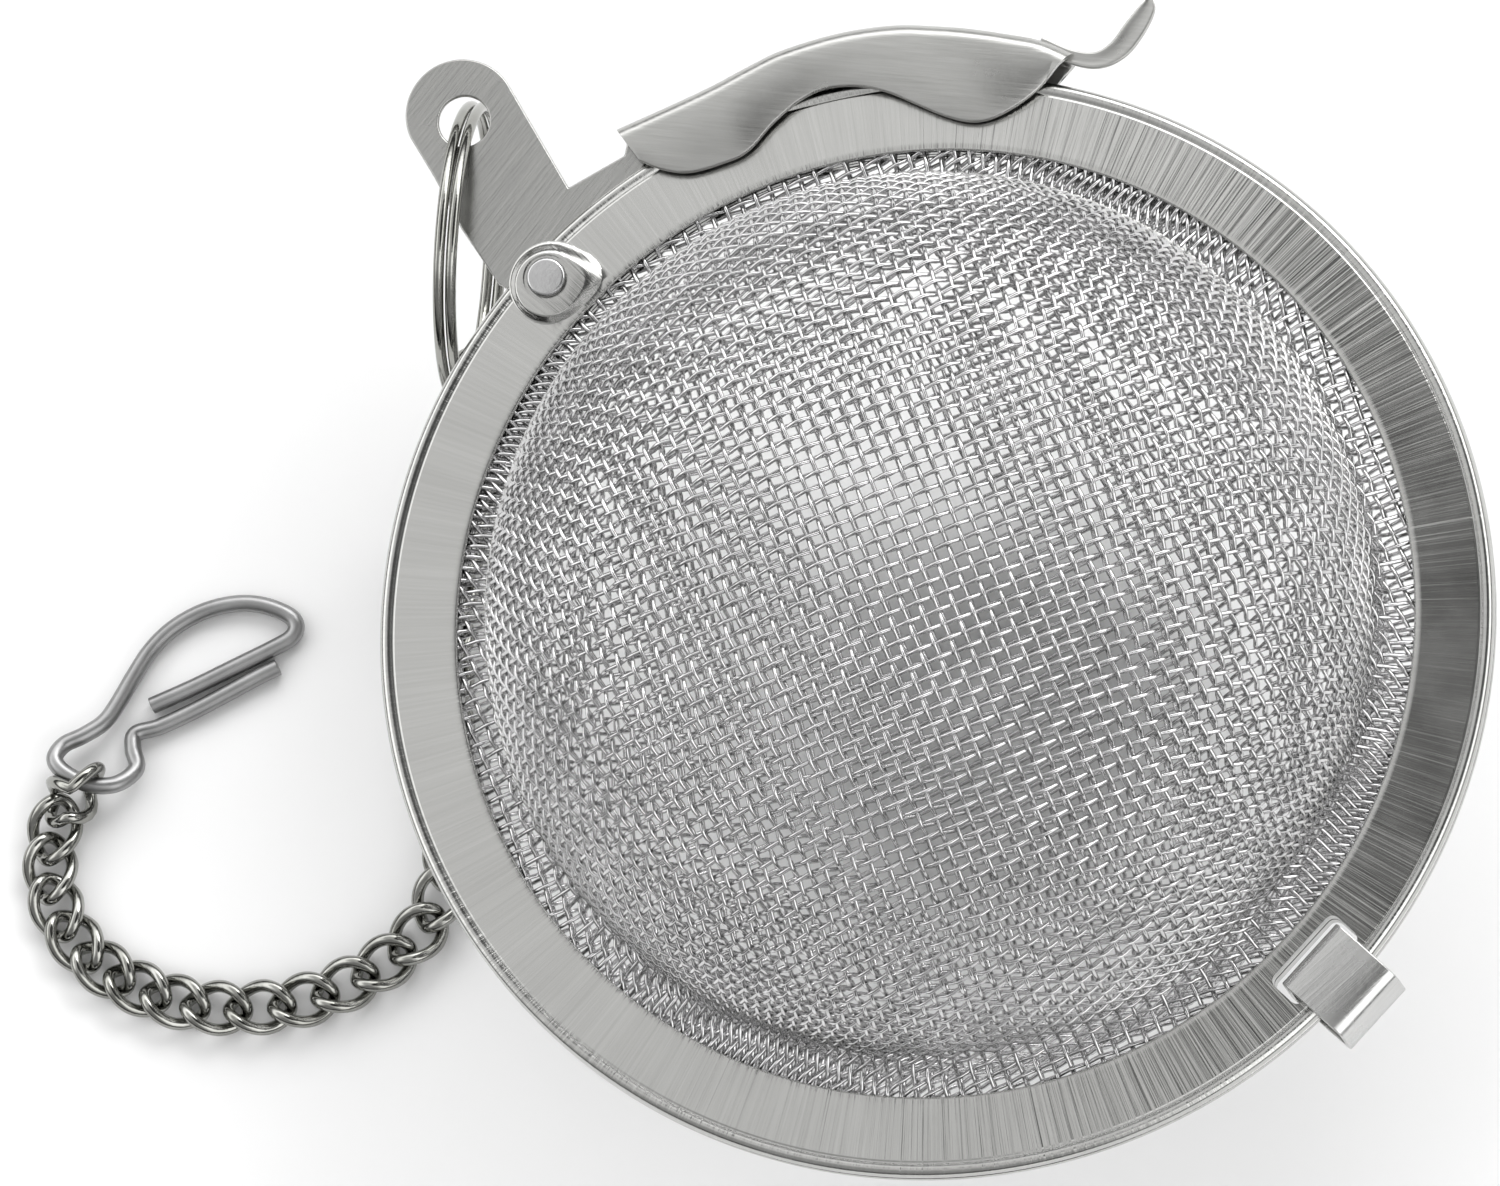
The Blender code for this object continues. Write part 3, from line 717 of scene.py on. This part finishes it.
def slot_outline():
    """A slot with rounded ends for the strap."""
    corner = 0.5
    half = SLOT_W / 2
    points = []
    for out, side, start in ((1, 1, 0), (-1, 1, 90), (-1, -1, 180), (1, -1, 270)):
        middle = SLOT_OUT_R - corner if out > 0 else SLOT_IN_R + corner
        centre = (middle, side * (half - corner))
        points += arc(centre[0], centre[1], corner, start, start + 90, 5)
    return [at_hinge(a, b) for a, b in points]


def pocket_outline():
    """The room that the lever's eye and tail sweep between the two rims."""
    points = arc(RIVET[0], RIVET[1], EYE_R + 0.25, 232, 362, 24)
    for r, deg in ((3.0, 8.0), (4.0, 30.0)):
        x, y = polar(r, deg)
        points.append((RIVET[0] + x, RIVET[1] + y))
    return points + arc(RIVET[0], RIVET[1], 13.0, 42, 228, 20)


def disc(name, at, r, low, high, steps=64):
    return revolve(name, [(0.0, low), (r, low), (r, high), (0.0, high)], steps, at)


def boss_form():
    """The pressed step round the rivet. It runs out long and low on the side away from the ring."""
    rings, sides = 14, 96
    top = SEAM_Z + RIM_HIGH + BOSS_HIGH
    centre = polar(RIVET_R - BOSS_SHIFT, RIVET_DEG)
    points = []
    for k in range(rings + 1):
        share = k / rings
        rise = share * share * (3 - 2 * share)
        for j in range(sides):
            turn = 360.0 * j / sides
            off_tail = (turn - BOSS_TAIL_DEG + 180) % 360 - 180
            away = math.exp(-((off_tail / 30) ** 2))
            steep = 0.5 - 0.5 * math.cos(math.radians(turn - 45))
            outer = BOSS_R + BOSS_TAIL * away
            inner = BOSS_TOP_R + 0.35 * away + 0.5 * steep
            r = outer + (inner - outer) * share
            low = SEAM_Z + RIM_HIGH - 0.17 + 0.13 * steep
            x, y = polar(r, turn)
            points.append((centre[0] + x, centre[1] + y, low + (top - low) * rise))
    foot = [(x, y, SEAM_Z + RIM_HIGH - 0.3) for x, y, z in points[:sides]]
    return lofted("boss_form", foot + points, sides)


def make_rims():
    upper = revolve("upper_rim_ring", rim_profile(1), RIM_STEPS)
    lower = revolve("lower_rim_ring", rim_profile(-1), RIM_STEPS)
    slot = slab("slot_cutter", slot_outline(), SEAM_Z - 3, SEAM_Z + 3)
    pocket = slab("pocket_cutter", pocket_outline(), SEAM_Z - POCKET, SEAM_Z + POCKET)
    boss = boss_form()
    hole = disc("rivet_hole", RIVET, SHANK_R + SHANK_GAP, SEAM_Z - 0.1, SEAM_Z + 3)
    seat_low = SEAM_Z + RIM_HIGH + BOSS_HIGH - SEAT_DEEP
    seat = disc("rivet_seat", RIVET, HEAD_R + SEAT_GAP, seat_low, SEAM_Z + 3)
    relief = disc("tail_relief", RIVET, HEAD_R + 0.35, SEAM_Z - 0.8, SEAM_Z + 0.1)
    boolean(upper, [slot, pocket], "DIFFERENCE")
    boolean(upper, [boss], "UNION")
    boolean(upper, [hole, seat], "DIFFERENCE")
    boolean(lower, [slot, pocket, relief], "DIFFERENCE")
    for rim, body, node in ((upper, "upper_half", "upper_rim"), (lower, "lower_half", "lower_rim")):
        applied(rim)
        shade(rim, 38.0)
        dress(rim, FLANGE, body, "satin_steel", node)
    remove(slot, pocket, boss, hole, seat, relief)


def make_rivet():
    """Shank, a nearly flat head with rounded edges, and the flat tail under the lever."""
    head = SEAM_Z + RIM_HIGH + BOSS_HIGH - SEAT_DEEP + 0.03
    top = head + HEAD_HIGH
    tail_low, tail_high = SEAM_Z - RIVET_TAIL_LOW, SEAM_Z - RIVET_TAIL_HIGH
    line = [(0.0, tail_low), (HEAD_R, tail_low), (HEAD_R, tail_high), (SHANK_R, tail_high)]
    line += [(SHANK_R, head), (HEAD_R - 0.06, head)]
    line += arc(HEAD_R - 0.12, head + 0.12, 0.12, -60, 0, 3)
    line += arc(HEAD_R - 0.2, top - 0.2, 0.2, 0, 85, 6)
    line += [(HEAD_R - 0.24, top), (0.4, top + 0.012), (0.0, top + 0.015)]
    rivet = revolve("latch_rivet_head", line, 72, RIVET)
    shade(rivet, 40.0)
    dress(rivet, RIVETED, "upper_half", "bright_steel", "latch_rivet")


make_rims()
make_rivet()

# ---------------------------------------------------------------- latch lever

FOLD = (
    (35.1, 122.9),
    (34.75, 118.0),
    (34.7, 113.2),
    (35.0, 109.0),
    (35.3, 105.5),
    (35.5, 100.0),
    (35.5, 94.8),
    (35.3, 91.0),
    (35.15, 87.8),
    (34.95, 84.0),
    (34.8, 80.6),
    (34.35, 77.2),
)
LIP = (
    (33.4, 78.3),
    (31.9, 79.6),
    (30.6, 81.8),
    (29.7, 84.5),
    (29.5, 87.0),
    (29.9, 90.0),
    (30.6, 92.8),
    (31.5, 96.0),
    (32.1, 99.3),
    (32.25, 102.4),
    (31.9, 105.2),
    (31.1, 108.4),
    (30.1, 111.9),
    (30.05, 115.0),
    (30.5, 118.8),
    (31.5, 121.2),
    (32.6, 122.6),
)
LOWER_LIP = (
    (33.4, 79.0),
    (31.4, 82.0),
    (30.9, 88.0),
    (31.1, 98.0),
    (30.9, 110.0),
    (31.3, 118.0),
    (32.8, 122.0),
)
CHANNEL_STATIONS = 120
TAB_LINE = ((5.6, 34.2), (7.5, 33.35), (9.0, 33.15), (10.2, 33.75), (11.1, 34.9), (11.85, 36.1), (12.0, 36.7))
TAB_HALF = (0.4, 0.42, 0.5, 0.62, 0.66, 0.5, 0.2)
TAB_T = 0.5
TAB_RISE = 0.55
TAB_CUP = 0.12
TAB_SQUARE = 0.55
TAB_SIDES = 20


def even_line(points, count):
    """Evenly spaced points along a smooth line through polar points."""
    line = smooth_line([polar(r, a) for r, a in points], 12)
    s = np.concatenate([[0], np.cumsum(np.linalg.norm(np.diff(line, axis=0), axis=1))])
    at = np.linspace(0, s[-1], count)
    return np.stack([np.interp(at, s, line[:, k]) for k in range(2)], axis=1)


def channel_section(reach, low_reach):
    """The C in (distance in from the fold, height over the seam), with a rolled fold."""
    out_r, in_r = FOLD_R, max(FOLD_R - WALL_T, 0.0) + 0.05
    lip_low = RIM_HIGH + CHANNEL_GAP
    lip_high = lip_low + WALL_T
    edge = min(0.12, reach * 0.3)
    section = [(reach - 0.05, lip_low), (reach, lip_low + 0.12), (reach, lip_high - edge)]
    section += [(reach - 0.04, lip_high - 0.035), (reach - edge, lip_high)]
    section += arc(out_r, lip_high - out_r, out_r, 90, 180, 8)
    section += arc(out_r, out_r - lip_high, out_r, 180, 270, 8)
    section += [(low_reach, -lip_high), (low_reach, -lip_low)]
    section += arc(WALL_T + in_r, in_r - lip_low, in_r, 270, 180, 3)
    section += arc(WALL_T + in_r, lip_low - in_r, in_r, 180, 90, 3)
    return section


def make_channel():
    """The catch: a folded channel over both rims, whose upper lip's edge waves in and out."""
    fold = even_line(FOLD, CHANNEL_STATIONS)
    lip = even_line(LIP[::-1], CHANNEL_STATIONS)
    low = even_line(LOWER_LIP[::-1], CHANNEL_STATIONS)
    points = []
    for k in range(CHANNEL_STATIONS):
        reach = np.linalg.norm(lip[k] - fold[k])
        inward = (lip[k] - fold[k]) / reach
        low_reach = max(np.dot(low[k] - fold[k], inward), 0.9)
        for u, z in channel_section(reach, low_reach):
            points.append((fold[k][0] + inward[0] * u, fold[k][1] + inward[1] * u, SEAM_Z + z))
    channel = lofted("latch_channel", points, len(points) // CHANNEL_STATIONS)
    shade(channel, 42.0)
    dress(channel, CHANNEL, "lever", "stamped_steel", "latch_lever")


def tail_outline():
    """The holed end, the arm to the eye round the rivet, and the strip along the rim's edge."""
    points = arc(TAIL_END[0], TAIL_END[1], TAIL_END_R, 30, 205, 48)
    points += [(-29.85, 27.0), (-28.2, 23.9), (-25.95, 20.6)]
    points += arc(RIVET[0], RIVET[1], EYE_R, 200, 350, 36)
    points += [(-18.9, 25.4), (-17.2, 27.9), (-15.4, 29.4), (-13.6, 31.1), (-14.0, 31.6)]
    points += [(-18.4, 29.7), (-18.7, 28.1), (-21.95, 26.25)]
    return points


def make_tail():
    """The plate with the ring's hole, the eye round the rivet and the strip to the channel."""
    plate = slab("latch_tail_plate", tail_outline(), SEAM_Z - LEVER_T / 2, SEAM_Z + LEVER_T / 2)
    hole = disc("tail_hole", TAIL_HOLE, TAIL_HOLE_R, SEAM_Z - 1, SEAM_Z + 1, 72)
    eye = disc("eye_hole", RIVET, SHANK_R + SHANK_GAP, SEAM_Z - 1, SEAM_Z + 1, 48)
    boolean(plate, [hole, eye], "DIFFERENCE")
    round_edges(plate, 0.11)
    remove(hole, eye)
    dress(plate, TAIL, "lever", "stamped_steel", "latch_lever")


def make_tab():
    """The finger tab: a narrow strip that leaves the channel's far end and curls outwards."""
    line = smooth_line(TAB_LINE, 10)
    half = smooth_line([(w,) for w in TAB_HALF], 10)[:, 0]
    along = unit(np.gradient(line, axis=0))
    points = []
    for k, (x, y) in enumerate(line):
        side = np.array((-along[k][1], along[k][0]))
        for turn in np.linspace(0, 2 * np.pi, TAB_SIDES, endpoint=False):
            across = half[k] * np.sign(np.cos(turn)) * abs(np.cos(turn)) ** TAB_SQUARE
            up = TAB_T / 2 * np.sign(np.sin(turn)) * abs(np.sin(turn)) ** TAB_SQUARE
            cup = TAB_CUP * (across / half[k]) ** 2
            points.append((x + side[0] * across, y + side[1] * across, SEAM_Z + TAB_RISE + up + cup))
    tab = lofted("latch_finger_tab", points, TAB_SIDES)
    shade(tab, 50.0)
    dress(tab, CHANNEL, "lever", "stamped_steel", "latch_lever")


make_channel()
make_tail()
make_tab()

# ---------------------------------------------------------------- hinge strap


def strap_middle():
    """The middle of the sheet, as (distance out, height): an upright leg, a flat top and a long nose."""
    half_t = WALL_T / 2
    in_r, out_r, high = STRAP_IN_R + half_t, STRAP_OUT_R - half_t, STRAP_HALF_H - half_t
    upper = arc(in_r + STRAP_BEND_R, high - STRAP_BEND_R, STRAP_BEND_R, 180, 90, 6)
    upper += [(31.2, high), (32.5, high - 0.01), (32.9, high - 0.025), (33.5, high - 0.07)]
    upper += [(33.9, high - 0.12), (34.2, high - 0.24), (out_r - 0.06, high - 0.48), (out_r, high - 0.8)]
    return upper + [(out, -z) for out, z in upper[::-1]]


def make_strap():
    """The flat loop: the sheet's middle line, thickened both ways and made as wide as the strap."""
    middle = np.array(strap_middle())
    along = unit(np.roll(middle, -1, 0) - np.roll(middle, 1, 0))
    normal = np.stack([-along[:, 1], along[:, 0]], axis=1)
    outer = middle + normal * WALL_T / 2
    inner = middle - normal * WALL_T / 2
    count = len(outer)
    points = []
    for across in (-STRAP_W / 2, STRAP_W / 2):
        for loop in (outer, inner):
            for out, z in loop:
                x, y = at_hinge(out, across)
                points.append((x, y, SEAM_Z + z))
    faces = []
    for j in range(count):
        k = (j + 1) % count
        faces.append((j, k, count + k, count + j))
        faces.append((2 * count + j, 3 * count + j, 3 * count + k, 2 * count + k))
        faces.append((j, 2 * count + j, 2 * count + k, k))
        faces.append((count + j, count + k, 3 * count + k, 3 * count + j))
    strap = mesh_object("hinge_strap_loop", points, faces)
    tidy_mesh(strap.data)
    round_edges(strap, 0.09, 3, 60.0)
    dress(strap, STRAP, "strap", "stamped_steel", "hinge_strap")


make_strap()

# ---------------------------------------------------------------- split ring


def make_ring():
    """A wire that goes round nearly twice and steps sideways by one wire where it passes itself."""
    centre = np.array(JOINTS["ring_slide"]["pos_m"]) / MM
    out = polar(1.0, RING_HEADING_DEG)
    side = (-out[1], out[0])
    line = []
    for i in range(RING_STEPS + 1):
        turned = RING_TURNED_DEG * i / RING_STEPS
        share = min(max((turned - JOG_FROM_DEG) / (JOG_TO_DEG - JOG_FROM_DEG), 0.0), 1.0)
        shift = RING_STEP * (share * share * (3 - 2 * share) - 0.5)
        turn = math.radians(RING_START_DEG + turned)
        flat = RING_R * math.cos(turn)
        x, y = flat * out[0] + shift * side[0], flat * out[1] + shift * side[1]
        line.append(centre + (x, y, RING_R * math.sin(turn)))
    ring = tube("split_ring_wire", line, RING_WIRE_R, 16, dome=0.05)
    dress(ring, BRIGHT, "ring", "bright_steel", "split_ring")


make_ring()

# ---------------------------------------------------------------- chain


def link_line(length, width, near_deg, far_deg, twist=(0.0, 1.0), count=64):
    """An oval twisted about its length, by one angle at its near end and another at its far."""
    turn = 2 * np.pi * np.arange(count) / count
    share = np.clip(((1 + np.cos(turn)) / 2 - twist[0]) / (twist[1] - twist[0]), 0.0, 1.0)
    lean = np.radians(near_deg + (far_deg - near_deg) * share)
    side = width * np.sin(turn)
    return np.stack([length * np.cos(turn), side * np.cos(lean), side * np.sin(lean)], axis=1)


def make_link(number, middle, along, line):
    along = unit(along)
    across = unit(np.cross((0.0, 0.0, 1.0), along))
    top = np.cross(along, across)
    placed = middle + line @ np.stack([along, across, top])
    link = tube(f"curb_link_{number:02d}", placed, LINK_WIRE_R, 14, closed=True)
    dress(link, BRIGHT, f"link_{number:02d}", "bright_steel", f"chain_link_{number:02d}")


def make_chain():
    pins = [np.array(JOINTS[f"link_joint_{k:02d}"]["pos_m"]) / MM for k in range(2, LINKS + 1)]
    centre = np.array(JOINTS["ring_slide"]["pos_m"]) / MM
    hook_pin = np.array(JOINTS["hook_swing"]["pos_m"]) / MM
    end = LINK_TWIST_DEG
    down = unit(pins[0] - centre)
    first_reach = FIRST_A - (LINK_A - LINK_PITCH / 2)
    make_link(1, pins[0] - first_reach * down, down, link_line(FIRST_A, FIRST_B, 0.0, end))
    for number in range(2, LINKS):
        start, stop = pins[number - 2], pins[number - 1]
        make_link(number, (start + stop) / 2, stop - start, link_line(LINK_A, LINK_B, -end, end))
    last = unit(hook_pin - pins[-1])
    last_reach = LAST_A - (LINK_A - BUNCHED_PITCH / 2)
    line = link_line(LAST_A, LAST_B, -end, LAST_LEAN_DEG, LAST_TWIST)
    make_link(LINKS, pins[-1] + last_reach * last, last, line)


make_chain()

# ---------------------------------------------------------------- end hook

EYE_Z = 1.86
LOW = HOOK_WIRE_R + 0.03
HOOK_LINE = (
    (-50.0, 0.95, LOW),
    (-47.6, 2.0, LOW),
    (-44.9, 3.3, LOW),
    (-42.6, 4.42, LOW),
    (-41.75, 4.95, LOW),
    (-41.5, 5.6, LOW),
    (-41.95, 6.25, LOW),
    (-43.4, 6.85, LOW),
    (-45.0, 7.0, LOW),
    (-46.9, 6.6, LOW),
    (-48.7, 5.65, LOW),
    (-50.1, 4.3, LOW),
    (-51.15, 2.6, LOW + 0.1),
    (-52.0, 1.0, LOW + 0.3),
    (-52.75, -0.1, LOW + 0.5),
    (-53.9, -0.9, LOW + 0.7),
    (-55.05, -1.5, LOW + 0.85),
    (-55.5, -2.4, EYE_Z - 0.15),
    (-54.85, -3.25, EYE_Z),
    (-53.35, -3.98, EYE_Z),
    (-51.8, -3.9, EYE_Z - 0.25),
    (-50.75, -2.9, LOW + 0.55),
    (-51.0, -1.7, LOW + 0.35),
    (-50.9, -0.75, LOW + 0.15),
    (-49.5, -0.3, LOW),
    (-47.4, 0.65, LOW),
    (-45.3, 1.75, LOW),
    (-43.7, 2.6, LOW),
    (-42.55, 3.15, LOW),
)


def make_hook():
    hook = tube("end_hook_wire", smooth_line(HOOK_LINE, 10), HOOK_WIRE_R, 20, dome=0.06)
    dress(hook, HOOK, "hook", "wire_steel", "end_hook")


make_hook()

# ---------------------------------------------------------------- floor, light and camera

VIEW_TILT_DEG = 14.5
VIEW_HEADING_DEG = -54.0
VIEW_WIDTH = 86.6
VIEW_DISTANCE = 2000.0
VIEW_RIGHT = -10.81
VIEW_UP = 1.905

# Patches of the light tent: azimuth, elevation, inner and outer half angle, and gain.
TENT = (
    (0.0, 90.0, 58.0, 82.0, 25.0),
    (126.0, 75.5, 22.0, 42.0, 0.38),
    (27.0, 67.0, 19.0, 28.0, 0.06),
    (62.0, 42.0, 12.0, 44.0, 1.6),
    (-112.0, 32.0, 22.0, 56.0, 0.17),
)
TENT_BASE = 0.10
BACKDROP = 0.9
SENSOR_MM = 36.0
FLOOR_HALF = 1500.0
KEY_AT = (220.0, 480.0, 480.0)
KEY_AIM = (0.0, 0.0, 25.0)
KEY_SIDE = 260.0
KEY_POWER = 0.7


def make_floor():
    size = FLOOR_HALF
    floor = mesh_object(
        "studio_floor",
        [(-size, -size, 0.0), (size, -size, 0.0), (size, size, 0.0), (-size, size, 0.0)],
        [(0, 1, 2, 3)],
    )
    floor.data.materials.append(pale_floor())


def make_world():
    """A light tent: bright overhead, dim near the horizon, with three darker patches and one brighter."""
    world = bpy.data.worlds.new("studio")
    bpy.context.scene.world = world
    world.use_nodes = True
    tree = world.node_tree
    back = tree.nodes["Background"]
    direction = tree.nodes.new("ShaderNodeTexCoord").outputs["Generated"]
    level = tree.nodes.new("ShaderNodeValue").outputs[0]
    level.default_value = TENT_BASE
    for azimuth, elevation, inner, outer, gain in TENT:
        flat = math.cos(math.radians(elevation))
        centre = (*polar(flat, azimuth), math.sin(math.radians(elevation)))
        dot = tree.nodes.new("ShaderNodeVectorMath")
        dot.operation = "DOT_PRODUCT"
        tree.links.new(direction, dot.inputs[0])
        dot.inputs[1].default_value = centre
        patch = tree.nodes.new("ShaderNodeMapRange")
        patch.interpolation_type = "SMOOTHSTEP"
        patch.inputs["From Min"].default_value = math.cos(math.radians(outer))
        patch.inputs["From Max"].default_value = math.cos(math.radians(inner))
        patch.inputs["To Min"].default_value = 1.0
        patch.inputs["To Max"].default_value = gain
        tree.links.new(dot.outputs["Value"], patch.inputs["Value"])
        product = tree.nodes.new("ShaderNodeMath")
        product.operation = "MULTIPLY"
        tree.links.new(level, product.inputs[0])
        tree.links.new(patch.outputs["Result"], product.inputs[1])
        level = product.outputs[0]
    path = tree.nodes.new("ShaderNodeLightPath")
    mix = tree.nodes.new("ShaderNodeMix")
    mix.data_type = "FLOAT"
    tree.links.new(path.outputs["Is Camera Ray"], mix.inputs[0])
    tree.links.new(level, mix.inputs[2])
    mix.inputs[3].default_value = BACKDROP
    tree.links.new(mix.outputs[0], back.inputs["Strength"])
    back.inputs["Color"].default_value = (1.0, 1.0, 1.0, 1.0)


def make_key_light():
    """One weak area light, for the soft shadow."""
    data = bpy.data.lights.new("key", "AREA")
    data.shape = "RECTANGLE"
    data.size = data.size_y = KEY_SIDE * MM
    data.energy = KEY_POWER
    light = bpy.data.objects.new("key", data)
    bpy.context.scene.collection.objects.link(light)
    light.location = Vector(KEY_AT) * MM
    light.rotation_mode = "QUATERNION"
    light.rotation_quaternion = (Vector(KEY_AIM) - Vector(KEY_AT)).to_track_quat("-Z", "Y")


def make_camera():
    """Looks down on the ball from a little off its axis, with the picture turned to match."""
    tilt, heading = math.radians(VIEW_TILT_DEG), math.radians(VIEW_HEADING_DEG)
    lean = Vector((math.cos(heading), math.sin(heading), 0.0))
    back = math.sin(tilt) * lean + Vector((0.0, 0.0, math.cos(tilt)))
    over = math.cos(tilt) * lean - Vector((0.0, 0.0, math.sin(tilt)))
    beside = Vector((-lean.y, lean.x, 0.0))
    right = lean.x * over - lean.y * beside
    up = lean.y * over + lean.x * beside
    centre = Vector((0.0, 0.0, SEAM_Z))
    data = bpy.data.cameras.new("camera")
    data.sensor_width = SENSOR_MM
    data.lens = SENSOR_MM * VIEW_DISTANCE / VIEW_WIDTH
    data.clip_start, data.clip_end = 0.1, 10.0
    camera = bpy.data.objects.new("camera", data)
    bpy.context.scene.collection.objects.link(camera)
    place = centre + VIEW_RIGHT * right + VIEW_UP * up + VIEW_DISTANCE * back
    turned = Matrix((right, up, back)).transposed()
    camera.matrix_world = Matrix.Translation(place * MM) @ turned.to_4x4()
    bpy.context.scene.camera = camera


make_floor()
make_world()
make_key_light()
make_camera()
bpy.context.scene.view_settings.view_transform = "Standard"
